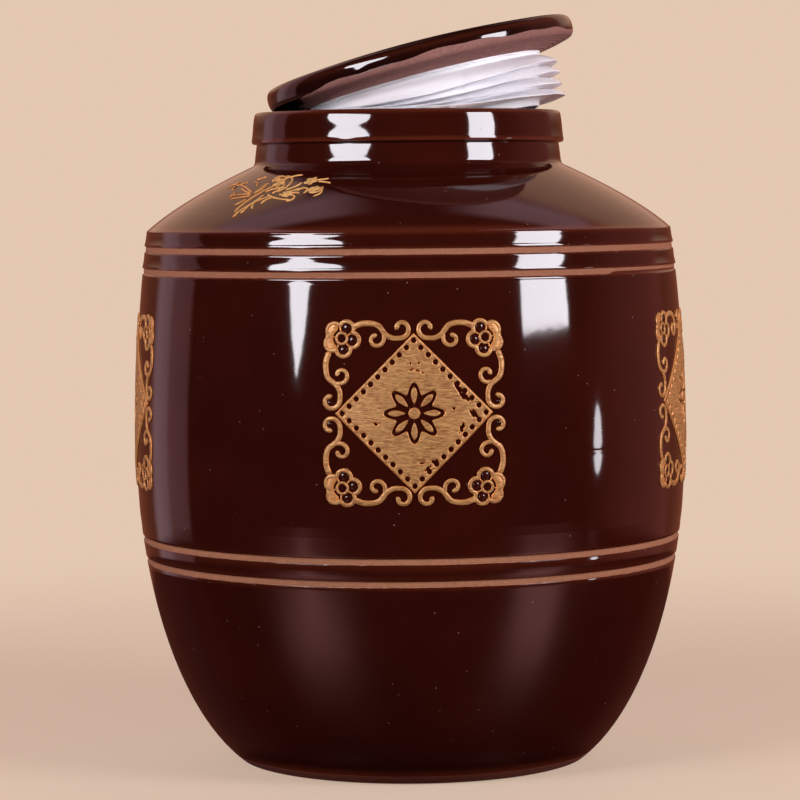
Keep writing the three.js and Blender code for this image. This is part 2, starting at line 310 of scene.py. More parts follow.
def belly_radius(z):
    """Above the widest height R - drop * rise^2. Below it part of an ellipse:
    R - axis * (1 - sqrt(1 - k fall^2))."""
    rise = np.maximum(z - BELLY_HEIGHT, 0) / (EDGE_HEIGHT - BELLY_HEIGHT)
    fall = np.maximum(BELLY_HEIGHT - z, 0) / (BELLY_HEIGHT - FOOT_HEIGHT)
    share = np.sqrt(1 - (1 - BELLY_FULLNESS**2) * np.minimum(fall, 1) ** 2)
    axis = (BELLY_RADIUS - FOOT_TOP) / (1 - BELLY_FULLNESS)
    return BELLY_RADIUS - (BELLY_RADIUS - EDGE_RADIUS) * rise**2 - axis * (1 - share)


def band_depth(z):
    """How far height z lies inside the nearest bare band, in millimetres, negative outside it."""
    return BAND_HALF - np.abs(z[:, None] - BANDS).min(1)


def leaning(z, low, high):
    """A strip that leans back in two waves: its radius falls evenly with the height, with a ripple on it."""
    t = (z - low) / (high - low)
    fall = STRIP_LEAN * (0.5 - t) - STRIP_RIPPLE * np.sin(2 * np.pi * (t - 0.3) / 0.7)
    return np.where((t >= 0) & (t <= 1), fall, 0.0)


def wall_radius(z):
    """The belly less its tanh-lipped grooves and the seam, plus glaze beads, strips and throwing ridges."""
    inside = band_depth(z)
    groove = 0.5 * BAND_DEPTH * (1 + np.tanh(inside / BAND_LIP))
    bead = 0.12 * bell(inside, -0.8, 0.5)
    below_band = np.where(z < BANDS[2], -0.15 * np.clip((z - LEAN_START) / 3.5, 0, 1) ** 2, 0)
    strips = sum(leaning(z, low, high) for low, high in STRIPS) + below_band
    ridges = sum(swelling * bell(z, middle, breadth) for middle, swelling, breadth in THROWN)
    seam = SEAM_DEPTH * bell(z, SEAM_HEIGHT, SEAM_BREADTH)
    return belly_radius(z) - groove + bead + strips + ridges - seam


print("radius in the upper band:", round(float(wall_radius(BANDS)[-1]), 2), "mm")

# %% [markdown]
# ## The vessel's whole profile
# From the middle of the hollowed underside the profile runs out to the foot ring, up the wall, over
# the rounded edge and the domed shoulder, up the neck, round the collar and its rim, and then down
# inside to the floor. The undercut below the collar is what draws the dark line round the neck.

# %% Build the profile
BORE, NECK, NECK_BASE, COLLAR, COLLAR_BASE, RIM = 62.5, 71.6, (73.7, 281.5), 73.9, 291.8, 306.8
WALL, SHOULDER_WALL, INNER_FLOOR = 8.0, 6.8, 9.0

ripples = np.linspace(2, 60, 13)
underside = np.stack([ripples, FOOT_HOLLOW + 0.1 * np.cos(ripples)], -1)
foot = np.vstack([
    [[0, FOOT_HOLLOW]],
    underside,
    bend((60, FOOT_HOLLOW), (63.6, FOOT_HOLLOW), (64, 0.4), 4),
    bend((64, 0.4), (64.1, 0), (64.6, 0), 2),
    [[70, 0], [76, 0]],
    bend((76, 0), (FOOT_RADIUS, 0), (FOOT_RADIUS + 0.8, 0.9), 6),
    [[FOOT_RADIUS + 3, 2.7]],
])
around_band = np.array([0, 0.6, 0.95, 1.1, 1.2, 1.3, 1.4, 1.5, 1.6])
near_bands = (BANDS[:, None] + np.concatenate([-around_band[:0:-1], around_band])).ravel()
even = np.linspace(FOOT_HEIGHT, EDGE_HEIGHT, 62)
even = even[np.abs(even[:, None] - BANDS).min(1) > 2]
lean_rows = np.linspace(LEAN_START, LEAN_START + 3, 6)
lower_strip = np.linspace(STRIPS[0][0] + 0.3, STRIPS[0][1] - 0.3, 13)
upper_strip = np.linspace(STRIPS[1][0] + 0.3, EDGE_HEIGHT, 12)
seam_rows = SEAM_HEIGHT + np.array([-1.2, -0.4, 0.4, 1.2])
ridge_rows = [middle for middle, _, _ in THROWN]
rows = [even, near_bands, lean_rows, lower_strip, upper_strip, seam_rows, ridge_rows]
wall_heights = np.unique(np.concatenate(rows))
wall_heights = wall_heights[wall_heights <= EDGE_HEIGHT]
wall = np.stack([wall_radius(wall_heights), wall_heights], -1)

edge_start = (EDGE_RADIUS - 0.9, EDGE_HEIGHT + 1.3)
crown = (EDGE_RADIUS - 16, EDGE_HEIGHT + 14.7)
fillet = (NECK_BASE[0] - 1.2, NECK_BASE[1] + 2.2)
shoulder = np.vstack([
    bend(wall[-1], (EDGE_RADIUS, EDGE_HEIGHT + 0.9), edge_start, 5),
    bend(edge_start, crown, NECK_BASE, 26),
    bend(NECK_BASE, (NECK_BASE[0] - 1.0, NECK_BASE[1] + 0.6), fillet, 4),
    bend(fillet, (NECK + 0.47, 288.0), (NECK, COLLAR_BASE - 0.9), 6),
])
collar = np.vstack([
    bend((NECK, COLLAR_BASE - 0.9), (NECK - 0.3, COLLAR_BASE), (NECK + 0.7, COLLAR_BASE + 0.1), 4),
    bend((NECK + 0.7, COLLAR_BASE + 0.1), (COLLAR, COLLAR_BASE), (COLLAR, COLLAR_BASE + 1.6), 6),
    bend((COLLAR, COLLAR_BASE + 1.6), (COLLAR - 0.5, 296.4), (COLLAR - 0.7, 299.3), 5),
    bend((COLLAR - 0.7, 299.3), (COLLAR - 0.9, 302.2), (COLLAR - 1.4, 304.8), 5),
    bend((COLLAR - 1.4, 304.8), (COLLAR - 1.7, RIM), (COLLAR - 3.6, RIM), 6),
    [[69, RIM], [67, RIM], [65.4, RIM]],
    bend((64.4, RIM), (BORE, RIM), (BORE, RIM - 1.8), 5),
    [[BORE, 300], [BORE, 292], [BORE, 284]],
])
eave = (EDGE_RADIUS - WALL, EDGE_HEIGHT - SHOULDER_WALL)
inner_heights = np.linspace(eave[1], 21, 32)[1:]
inner_wall = np.stack([belly_radius(inner_heights) - WALL, inner_heights], -1)
inner_corner = (inner_wall[-1, 0], INNER_FLOOR)
inside = np.vstack([
    bend((BORE, NECK_BASE[1] - SHOULDER_WALL), (crown[0] - 4.2, crown[1] - SHOULDER_WALL), eave, 20),
    inner_wall,
    bend(inner_wall[-1], inner_corner, (inner_corner[0] - 12, INNER_FLOOR), 6),
    [[radius, INNER_FLOOR] for radius in (60, 40, 20, 0)],
])
profile = np.vstack([foot, wall, shoulder, collar, inside])
print("profile of", len(profile), "points, top at", profile[:, 1].max(), "mm")

# %% [markdown]
# ## The vessel
# A thrown jar is never quite round, so the whole profile swells and dips by a sixth of a millimetre
# on its way round. The bare attribute follows the bands, the foot and the wiped rim. On the right the
# glaze ran back over the lower half of one band, the lower of the upper pair, which is half as wide there.

# %% Turn the vessel
COLUMNS, COVERED = 288, -5.0
WIPED_MIDDLE, WIPED_HALF = 67.6, 3.0
RUN_START, RUN_END, RUN_BACK = np.radians(47), np.radians(125), 2.2
points, quads, fans = lathe(profile, COLUMNS)


def wobble(angle, z):
    """How far the thrown wall leaves a true circle: two low waves that drift with the height."""
    return 0.1 * np.sin(2 * angle + 0.012 * z) + 0.06 * np.sin(3 * angle + 1.1 - 0.02 * z)


def widened(points, share):
    """Points moved out from the axis, or in towards it: x and y times a share for each point."""
    return points * np.stack([share, share, np.ones_like(share)], -1)


def step(distance, width):
    """0 well below zero, 1 well above it, with a smooth rise of the given width between."""
    t = np.clip(distance / width + 0.5, 0, 1)
    return t * t * (3 - 2 * t)


angle = np.arctan2(points[:, 0], -points[:, 1])
radius = np.hypot(points[:, 0], points[:, 1])
points = widened(points, 1 + wobble(angle, points[:, 2]) / np.maximum(radius, 20))

outside = len(foot) + len(wall) + len(shoulder)
bare = np.full(len(profile), COVERED)
bare[: len(foot)] = np.maximum(FOOT_HEIGHT - foot[:, 1], 0.6)
bare[len(foot) : len(foot) + len(wall)] = np.maximum(band_depth(wall[:, 1]), FOOT_HEIGHT - wall[:, 1])
flat_rim = (np.arange(len(profile)) >= outside) & (profile[:, 1] > RIM - 0.2)
bare[flat_rim] = WIPED_HALF - np.abs(profile[flat_rim, 0] - WIPED_MIDDLE)
bare_mm = over_rows(bare, COLUMNS)
run_back = step(angle - RUN_START, 0.05) * step(RUN_END - angle, 0.3)
run_back = run_back * step(BANDS[2] - 0.1 - points[:, 2], 0.5) * (points[:, 2] > BANDS[2] - 2.9)
bare_mm = bare_mm - RUN_BACK * run_back

lips = bell(np.abs(band_depth(profile[:, 1])), 0.4, 0.5) * (profile[:, 0] > 118)
edges = np.zeros(len(profile))
for edge_z, breadth in ((EDGE_HEIGHT + 1.6, 1.4), (COLLAR_BASE + 1.2, 0.8), (RIM - 0.6, 1.0)):
    edges = np.maximum(edges, bell(profile[:, 1], edge_z, breadth))
# The upper bands' bare clay is darkened by 0.4 as painted shade, so that they render no brighter than the
# lower bands, which get less light. The foot's bare clay is darkened fully.
clay_darkening = np.where(band_depth(profile[:, 1]) > -0.3, 0.4 * (profile[:, 1] > 200), 0.0)
clay_darkening[profile[:, 1] < FOOT_HEIGHT + 0.5] = 1.0
thin_glaze = over_rows(np.maximum(0.5 * edges * (profile[:, 0] > 70) + 0.25 * lips, clay_darkening), COLUMNS)

vessel = make_piece(
    "vessel", [(points, quads, fans)], jar_glaze, "jar", "glaze", bare_mm=bare_mm, thin_glaze=thin_glaze
)
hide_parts("jar_body")

# %% [markdown]
# ## The lid
# The lid is a domed disc with a fat rounded rim. Its top was brushed with glaze that stops in a wavy
# line on the rim, and its underside is bare clay with the rings of the turning tool. It is modelled
# lying flat, then tipped and shifted as a whole, so its own height decides where the glaze stops.

# %% Build the lid flat
LID_RADIUS, LID_INSET, LID_UNDER, LID_OVER, LID_TOP = 74.3, 70.9, 2.9, 13.0, 17.6
SEAT_RADIUS = 56.4
turned = np.linspace(SEAT_RADIUS + 1, LID_INSET, 40)
under_slope = LID_UNDER * (turned - SEAT_RADIUS) / (LID_INSET - SEAT_RADIUS)
tool_marks = 0.2 * (np.sin(2 * np.pi * turned / 2.6) - 1)
rings_cut = under_slope + tool_marks * np.clip((LID_INSET - turned) / 2, 0, 1)
lid_waist = (LID_UNDER + LID_OVER) / 2
lid_profile = np.vstack([
    [[0, 0], [15, 0], [30, 0], [45, 0], [SEAT_RADIUS, 0]],
    np.stack([turned, np.maximum(rings_cut, 0)], -1),
    bend((LID_INSET, LID_UNDER), (LID_RADIUS, LID_UNDER), (LID_RADIUS, lid_waist), 12),
    bend((LID_RADIUS, lid_waist), (LID_RADIUS, LID_OVER), (LID_INSET, LID_OVER), 12),
    bend((LID_INSET, LID_OVER), (LID_INSET / 2, LID_TOP), (0, LID_TOP), 40),
])
LID_COLUMNS = 320
lid_points, lid_quads, lid_fans = lathe(lid_profile, LID_COLUMNS)
print("lid profile of", len(lid_profile), "points,", LID_TOP, "mm thick")

# %% [markdown]
# ## Propping the lid
# The plug's fins catch on the rim, so lid and plug lie askew: the right side up, the front a little
# up, and all of it shifted to the right. One turn and one shift take the flat pieces there. The
# height comes from the CAD lid's box, so both stay together.

# %% Tip and shift
LID_SHIFT, LID_TIP, LID_NOD = 8.1, -13.8, -2.2


def turn_about(axis, degrees):
    """The 3 x 3 matrix of a turn about the X or the Y axis."""
    return np.array(Matrix.Rotation(np.radians(degrees), 3, axis))


lid_turn = turn_about("X", LID_NOD) @ turn_about("Y", LID_TIP)
lid_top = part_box("lid")[1][2] / MM
lid_lift = lid_top - (lid_points @ lid_turn.T)[:, 2].max()


def propped(flat):
    """Points of the flat lid or plug, turned and then shifted to where they lie on the jar."""
    return flat @ lid_turn.T + np.array([LID_SHIFT, 0, lid_lift])


print("middle of the lid's seat:", np.round(propped(np.zeros(3)), 2).tolist(), "mm")

# %% [markdown]
# ## Glaze on the lid
# The brush left the glaze's border wavy: three waves of different lengths add up to it, and on the
# left the glaze runs down round the rim, partly as it ran and partly as painted shade under the lid's
# low end. A little above the border it lies thin and breaks to rust.

# %% Dress the lid
GLAZE_STOP, GLAZE_RUN_AND_SHADE = 6.4, 7.5
lid_angle = np.arctan2(lid_points[:, 0], -lid_points[:, 1])
long_waves = 0.7 * np.sin(3 * lid_angle + 0.8) + 0.5 * np.sin(8 * lid_angle)
left_end = bell(lid_angle, -np.pi / 2, 0.6)
# On the left the glaze is taken further down, partly as it ran and partly as painted shade under the lid's
# low end.
glaze_stop = GLAZE_STOP + long_waves + 0.3 * np.sin(19 * lid_angle) - GLAZE_RUN_AND_SHADE * left_end
lid_bare = glaze_stop - lid_points[:, 2]
lid_thin = 0.2 * bell(lid_points[:, 2], 10.5, 1.2) * (lid_bare < 0)
lid_part = (propped(lid_points), lid_quads, lid_fans)
lid = make_piece(
    "lid_dome", [lid_part], lid_glaze, "lid_and_plug", "lid_glaze", bare_mm=lid_bare, thin_glaze=lid_thin
)
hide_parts("lid")
print("lid box in mm:", np.round(lid_part[0].min(0), 1).tolist(), np.round(lid_part[0].max(0), 1).tolist())

# %% [markdown]
# ## Soft white plastic
# The plug is moulded polyethylene. It is milky rather than white: light goes a few millimetres in
# and comes out again, and its moulded skin has a waxy half-gloss with faint flow marks.


# %% Polyethylene material
def moulded_polyethylene():
    """Milky soft plastic: subsurface scatter over 3 mm, waxy sheen and flow marks about 5 mm long."""
    material, tree = new_material("milky_polyethylene_moulded")
    place = node(tree, "TexCoord").outputs["Object"]
    cloud = node(tree, "TexNoise", {"Vector": place, "Scale": 1 / 0.03, "Detail": 2.0})
    colour = node(tree, "Mix", {0: cloud, 6: linear("#f3f2f8"), 7: linear("#fcfbfe")}, **RGBA)
    flow = node(tree, "TexNoise", {"Vector": place, "Scale": 1 / 0.005, "Detail": 2.0})
    rough = node(tree, "MapRange", {"Value": flow, "To Min": 0.36, "To Max": 0.52})
    relief = node(tree, "Bump", {"Height": flow, "Strength": 0.4, "Distance": 0.0001})
    look = {"Base Color": colour, "Roughness": rough, "Normal": relief, "IOR": 1.51}
    milky = {"Subsurface Weight": 0.4, "Subsurface Radius": (1.0, 0.95, 0.95), "Subsurface Scale": 0.003}
    surface = node(tree, "BsdfPrincipled", {**look, **milky})
    node(tree, "OutputMaterial", {"Surface": surface})
    return material


polyethylene = moulded_polyethylene()
print("material:", polyethylene.name)

# %% [markdown]
# ## The finned plug
# The plug is an inverted cup with four umbrella fins, thin at the tip and cupped below, made a little
# wider than the mouth so that they fold and seal. Only a profile is needed here: fin by fin from the
# seat under the lid down to the open end, and back up inside the cup.

# %% Build the plug
PLUG_RADIUS, PLUG_TAPER, PLUG_DEPTH, PLUG_WALL = 55.2, 5.0, 24.9, 2.6
FIN_RADIUS, FIN_FIRST, FIN_PITCH, FIN_DROOP = 63.5, 6.4, 5.3, 4.7
SEAT_GAP, PLUG_COLUMNS = 0.3, 400


def core(depth):
    """The plug's radius between its fins, tapering evenly with the depth."""
    return PLUG_RADIUS - PLUG_TAPER * depth / PLUG_DEPTH


def fin(depth):
    """One fin's section: a domed top from the core out to a rounded tip, then a cupped underside back."""
    root = (core(depth - FIN_DROOP), FIN_DROOP - depth)
    top_of_tip, under_tip = (FIN_RADIUS - 0.4, 0.25 - depth), (FIN_RADIUS - 0.4, -0.45 - depth)
    return np.vstack([
        [root],
        bend(root, (60.6, 3.4 - depth), top_of_tip, 8),
        bend(top_of_tip, (FIN_RADIUS + 0.2, -0.15 - depth), under_tip, 4),
        bend(under_tip, (60.2, 1.9 - depth), (core(depth), 0.5 - depth), 7),
    ])


fins = np.vstack([fin(FIN_FIRST + i * FIN_PITCH) for i in range(4)])
bottom = core(PLUG_DEPTH)
plug_profile = np.vstack([
    [[0, 0], [20, 0], [40, 0], [53, 0]],
    bend((53, 0), (PLUG_RADIUS, 0), (PLUG_RADIUS, -1.2), 4),
    fins,
    bend((bottom, -PLUG_DEPTH + 1), (bottom, -PLUG_DEPTH), (bottom - 1.3, -PLUG_DEPTH), 4),
    bend((bottom - 1.3, -PLUG_DEPTH), (bottom - 2.6, -PLUG_DEPTH), (bottom - 2.6, -PLUG_DEPTH + 1), 4),
    [[core(17) - PLUG_WALL, -17], [core(10) - PLUG_WALL, -10]],
    bend((core(5) - PLUG_WALL, -5), (core(PLUG_WALL) - PLUG_WALL, -PLUG_WALL), (48, -PLUG_WALL), 4),
    [[30, -PLUG_WALL], [12, -PLUG_WALL], [0, -PLUG_WALL]],
])
plug_points, plug_quads, plug_fans = lathe(plug_profile - [0, SEAT_GAP], PLUG_COLUMNS)
print("plug profile of", len(plug_profile), "points,", PLUG_DEPTH, "mm deep")

# %% [markdown]
# ## Folded fins
# Towards the front the jar's rim catches the fins: their tips sag and crowd together there, and on
# the right they fan out free. They also wave a little, and a nick marks the mould's parting line.
# Where a point would enter the rim or the mouth's wall it is pressed in to the bore, as a soft fin is.

# %% Fold the fins and seat the plug
CAUGHT_MIDDLE, CAUGHT_HALF, PARTING_LINE, CROWD = -0.45, 1.15, 0.3, 6.0
x, y, z = plug_points.T
turn = np.arctan2(x, -y)
reach = np.clip((np.hypot(x, y) - 54) / (FIN_RADIUS - 54), 0, 1)
caught = step(CAUGHT_HALF - np.abs(turn - CAUGHT_MIDDLE), 1.3)
sag = -reach * caught * (3.6 + 0.35 * (z + FIN_FIRST))
waves = reach * (0.25 * np.sin(3 * turn + 0.25 * z) + 0.15 * np.sin(11 * turn - 0.6 * z))
nick = bell(turn - 0.006 * z, PARTING_LINE, 0.018)
shrink = 1 - reach * (0.0035 * (1 + np.sin(7 * turn + 0.9 * z)) + 0.016 * nick)
folded = np.stack([x * shrink, y * shrink, z + sag + waves], -1)
seated = propped(folded)
above_rim = seated[:, 2] - RIM
crowded = np.where(above_rim < CROWD, CROWD * np.exp(np.minimum(above_rim / CROWD - 1, 0)), above_rim)
seated[:, 2] += reach**4 * caught * (crowded - above_rim)
wide = np.hypot(seated[:, 0], seated[:, 1])
in_mouth = seated[:, 2] < RIM + SEAT_GAP
press = np.where(in_mouth, np.minimum(1, (BORE - SEAT_GAP) / np.maximum(wide, 1)), 1)
seated = widened(seated, press)
plug = make_piece(
    "finned_plug", [(seated, plug_quads, plug_fans)], polyethylene, "lid_and_plug", "soft_plastic"
)
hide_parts("seal_plug")
print("plug box in mm:", np.round(seated.min(0), 1).tolist(), np.round(seated.max(0), 1).tolist())

# %% [markdown]
# ## Glue between lid and plug
# The plug is stuck to the lid's bare underside, and a thin uneven bead of glue squeezed out round the
# joint. It is a ring with a small round section whose thickness wanders, and it reads as a soft
# bright line that joins the white to the clay.

# %% Squeeze out the bead
BEAD_HALF = 0.75
along = full_turn(300)[:, None]
section = full_turn(10)
thick = BEAD_HALF + 0.22 * np.sin(5 * along) + 0.16 * np.sin(13 * along + 1)
bead_radius = PLUG_RADIUS + 0.1 + thick * np.cos(section)
bead_rings = round_z(bead_radius, along, -0.35 + 0.8 * thick * np.sin(section))
bead_points, bead_quads, bead_fans = ring_part(bead_rings)
glue_part = (propped(bead_points), bead_quads, bead_fans)
make_piece("glue_bead", [glue_part], polyethylene, "lid_and_plug", "soft_plastic")

# %% [markdown]
# ## Gold on raised slip
# The ornament is slip pressed on in relief, then brushed with gold paint over the fired glaze. The
# paint is satin, streaked level by the brush. It is brown at the foot of the relief, orange on the
# flanks as a painted highlight, and a paler tan on the tops. Each ornament vertex carries its own flat
# place and height in millimetres, so the streaks follow the ornament wherever it sits on the jar.


# %% Gold paint material
def brushed_gold_paint(name, dark, pale):
    """Satin gold on slip: streaks 0.8 mm high and 4 mm long, brown at the foot, a painted orange highlight
    on the flanks.
    """
    material, tree = new_material(name)
    spot = node(tree, "Attribute", attribute_name="spot_mm").outputs["Vector"]
    stretch = node(tree, "Mapping", {"Vector": spot, "Scale": (1 / 4, 1 / 0.8, 1 / 4)})
    streak = node(tree, "TexNoise", {"Vector": stretch, "Scale": 1.0, "Detail": 3.0, "Distortion": 1.2})
    brush = node(tree, "MapRange", {"Value": streak, "From Min": 0.3, "From Max": 0.7})
    top = node(tree, "Mix", {0: brush, 6: linear(dark), 7: linear(pale)}, **RGBA)
    # By the relief's own height the colour turns brown at its foot and orange on its flanks, the orange
    # being a painted highlight.
    height = node(tree, "SeparateXYZ", {"Vector": spot}).outputs["Z"]
    rise = node(tree, "MapRange", {"Value": height, "From Min": 0.02, "From Max": 0.2})
    crest = node(tree, "MapRange", {"Value": height, "From Min": 0.35, "From Max": 0.6})
    foot_and_flank_highlight = node(tree, "Mix", {0: rise, 6: linear("#4a2410"), 7: linear("#d98a45")}, **RGBA)
    colour = node(tree, "Mix", {0: crest, 6: foot_and_flank_highlight, 7: top}, **RGBA)
    rough = node(tree, "MapRange", {"Value": brush, "To Min": 0.5, "To Max": 0.36})
    relief = node(tree, "Bump", {"Height": streak, "Strength": 0.5, "Distance": 0.0003})
    look = {"Base Color": colour, "Roughness": rough, "Normal": relief, "Metallic": 0.3}
    surface = node(tree, "BsdfPrincipled", look)
    node(tree, "OutputMaterial", {"Surface": surface})
    return material


gold_paint = brushed_gold_paint("brushed_gold_paint_on_slip", "#864f28", "#d3a265")
# The sprig's lines get a paler, yellower copy of the gold paint. This is partly their own brighter gold and
# partly painted light for the upward-facing shoulder.
line_gold = brushed_gold_paint("trailed_bright_gold_lines", "#c98f4c", "#f3cf86")
print("materials:", gold_paint.name, line_gold.name)

# %% [markdown]
# ## Laying ornament on the belly
# An ornament is drawn flat, as (across, up, height) in millimetres, and then wrapped: across becomes
# an angle round the jar, up becomes a height, and the ornament's own height is added to the wall's
# radius. The four medallions were set on by hand, so their turns aren't quite a quarter each.

# %% Wrap on the belly
PANEL_HEIGHT = 172.6
PANEL_TURNS = {"front": 0.8, "right": 78.5, "back": 180.0, "left": -83.5}
HALF_DIAGONAL, PLATE = 35.0, 0.62


def on_belly(flat, turn):
    """Angle = turn + across / R, z = middle + up, radius = wall + wobble + height."""
    across, up, height = flat.T
    angle = np.radians(turn) + across / BELLY_RADIUS
    z = PANEL_HEIGHT + up
    radius = belly_radius(z) + wobble(angle, z) + height
    return round_z(radius, angle, z)


def wrapped(parts, wrap, turn):
    """Flat parts laid on the jar at a turn by a wrapping function."""
    return [(wrap(points, turn), quads, fans) for points, quads, fans in parts]


top_corner = on_belly(np.array([[0, HALF_DIAGONAL, PLATE]]), PANEL_TURNS["front"])[0]
print("top of a medallion:", np.round(top_corner, 1).tolist(), "mm")

# %% [markdown]
# ## The diamond panel
# The middle of each medallion is a thin square plate on its corner, with a raised border line, a row
# of forty small holes inside it and a pierced rosette with eight gold petals. It is one height field
# on rings of diamonds that grow from the middle to the border: where the height falls below zero the
# glaze of the jar shows through. A few worn spots are let through in the same way.

# %% The panel's height
SUNK = 0.4
DOT_RADIUS, DOTS_PER_SIDE, DOT_DIAGONAL = 1.22, 10, 31.9
ROSETTE_RADIUS, ROSETTE_WAVE, PETALS = 11.0, 2.4, 8
# Worn spots as across, up, half length, half width and slant in degrees.
WORN = np.array([
    [19.6, 10.6, 2.6, 0.9, -50],
    [22.3, 7.2, 2.8, 1.2, -40],
    [26.6, -0.6, 2.4, 1.2, -45],
    [20.9, -6.7, 2.3, 0.9, 70],
    [17.3, 1.8, 0.7, 0.6, 0],
    [8.7, -21.3, 1.7, 0.9, 10],
    [5.7, -24.2, 1.6, 0.7, 40],
    [3.2, -21.8, 1.1, 0.35, 5],
    [-16.8, -4.6, 1.1, 0.6, -20],
    [-1.6, 21.7, 0.5, 0.4, 60],
    [2.1, 21.9, 0.5, 0.5, 0],
    [-1.0, 19.1, 0.8, 0.4, 30],
    [1.5, 18.7, 0.9, 0.4, -20],
    [3.9, 17.6, 0.5, 0.4, 0],
])


def dots(u, v):
    """Depth inside the nearest border hole. Holes sit evenly on a diamond: one side folds on to all four."""
    a, b = np.abs(u), np.abs(v)
    along = np.clip(np.round((a - b + DOT_DIAGONAL) / 2 / DOT_DIAGONAL * DOTS_PER_SIDE), 0, DOTS_PER_SIDE)
    centre = DOT_DIAGONAL * along / DOTS_PER_SIDE
    return DOT_RADIUS - np.hypot(a - centre, b - (DOT_DIAGONAL - centre))


def rosette(u, v):
    """Depth inside the pierced rosette: its waved outline, less eight petals and a round boss."""
    r, a = np.hypot(u, v), np.arctan2(v, u)
    hole = ROSETTE_RADIUS + ROSETTE_WAVE * np.cos(PETALS * a) - r
    fold = (a * PETALS / (2 * np.pi) + 0.5) % 1 - 0.5
    across = np.abs(r * np.sin(fold * 2 * np.pi / PETALS))
    swelling = np.sqrt(np.clip((r - 4.2) / 6.4, 0, 1)) * np.sqrt(np.clip((11.4 - r) / 3.0, 0, 1))
    petal = 1.75 * swelling - across
    boss = 2.5 - r
    return np.minimum(hole, -np.maximum(petal, boss))


def worn(u, v):
    """Depth inside the nearest worn spot, each a slanted ellipse."""
    du, dv = u[..., None] - WORN[:, 0], v[..., None] - WORN[:, 1]
    slant = np.radians(WORN[:, 4])
    long = (du * np.cos(slant) + dv * np.sin(slant)) / WORN[:, 2]
    short = (dv * np.cos(slant) - du * np.sin(slant)) / WORN[:, 3]
    ragged = 1 + 0.25 * np.sin(3.1 * u + 1.7 * v)[..., None]
    return ((ragged - np.hypot(long, short)) * WORN[:, 3]).max(-1)


def panel_height(u, v):
    """Plate, border line and brush relief, let down below zero inside holes, rosette and worn spots."""
    inset = (HALF_DIAGONAL - np.abs(u) - np.abs(v)) / np.sqrt(2)
    border = 0.24 * bell(inset, 0.7, 0.4)
    brushed = 0.025 * np.sin(7 * v + 1.3 * np.sin(0.5 * u) + 0.8 * np.sin(1.1 * u + 0.7 * v))
    pierced = np.maximum(np.maximum(dots(u, v), rosette(u, v)), worn(u, v))
    edge = 1 - 0.45 * step(0.45 - inset, 0.8)
    return (PLATE + border + brushed) * edge - (PLATE + SUNK) * step(pierced, 0.5)


samples = panel_height(np.array([20.0, 0, 0]), np.array([0, DOT_DIAGONAL, 0]))
print("heights of plate, hole and boss:", np.round(samples, 2).tolist())

# %% [markdown]
# ## Four panels
# The rings of points are diamonds, so the border and its row of holes follow the mesh lines. A skirt
# and a sunk back close the plate inside the jar's wall.

# %% Build the four panels
ROUND, ACROSS, BACK = 480, 84, -0.7
share = np.linspace(0, 1, ROUND, endpoint=False) * 4
leg = share.astype(int) % 4
slide = share % 1
corners = np.array([[1, 0], [0, 1], [-1, 0], [0, -1], [1, 0]], float)
diamond = corners[leg] * (1 - slide)[:, None] + corners[leg + 1] * slide[:, None]
reaches = np.linspace(0, HALF_DIAGONAL, ACROSS + 1)[1:]
u, v = np.moveaxis(reaches[:, None, None] * diamond, -1, 0)
face = np.stack([u, v, panel_height(u, v)], -1)
skirt = np.stack([u[-1:], v[-1:], np.full((1, ROUND), -SUNK)], -1)
back = np.stack([u[[ACROSS // 2]], v[[ACROSS // 2]], np.full((1, ROUND), BACK)], -1)
middle = [0, 0, float(panel_height(np.zeros(1), np.zeros(1))[0])]
panel_part = ring_part(np.vstack([face, skirt, back]), middle, [0, 0, BACK])
for side, side_turn in PANEL_TURNS.items():
    parts = wrapped([panel_part], on_belly, side_turn)
    panel = make_piece("diamond_panel_" + side, parts, gold_paint, "jar", "gilt", spot_mm=panel_part[0])
    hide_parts("medallion_panel_" + side)

# %% [markdown]
# ## Ridges of slip
# Scrolls, flowers and stems are lines of slip, half round and about as high as a thick card. A ridge
# is a half-round section carried along a path: across the path it goes by the path's normal, and
# upwards by the height. Both ends run out round, and a width along the path gives bulbs and tapers.

# %% Path and ridge helpers
RIDGE_BASE = -0.35


def flowing(knots, count):
    """Catmull-Rom: between two knots a cubic that leaves each along the chord of its neighbours."""
    p = np.asarray(knots, float)
    p = np.vstack([2 * p[0] - p[1], p, 2 * p[-1] - p[-2]])
    t = np.linspace(0, len(p) - 3 - 1e-9, count)
    i = t.astype(int)
    f = (t - i)[:, None]
    a, b, c, d = p[i], p[i + 1], p[i + 2], p[i + 3]
    return 0.5 * (2 * b + (c - a) * f + (2 * a - 5 * b + 4 * c - d) * f**2 + (3 * b - a - 3 * c + d) * f**3)


def towards(angle):
    """The flat direction at an angle from +across: (cos a, sin a)."""
    return np.stack([np.cos(angle), np.sin(angle)], -1)


def curl(centre, start_radius, end_radius, start, end, count=14):
    """A spiral: radius and angle both run evenly from start to end, angles in degrees from +across."""
    reach = np.linspace(start_radius, end_radius, count)
    return centre + reach[:, None] * towards(np.radians(np.linspace(start, end, count)))


def run_along(path):
    """The length of the path up to each of its points."""
    return np.concatenate([[0], np.cumsum(np.linalg.norm(np.diff(path, axis=0), axis=1))])


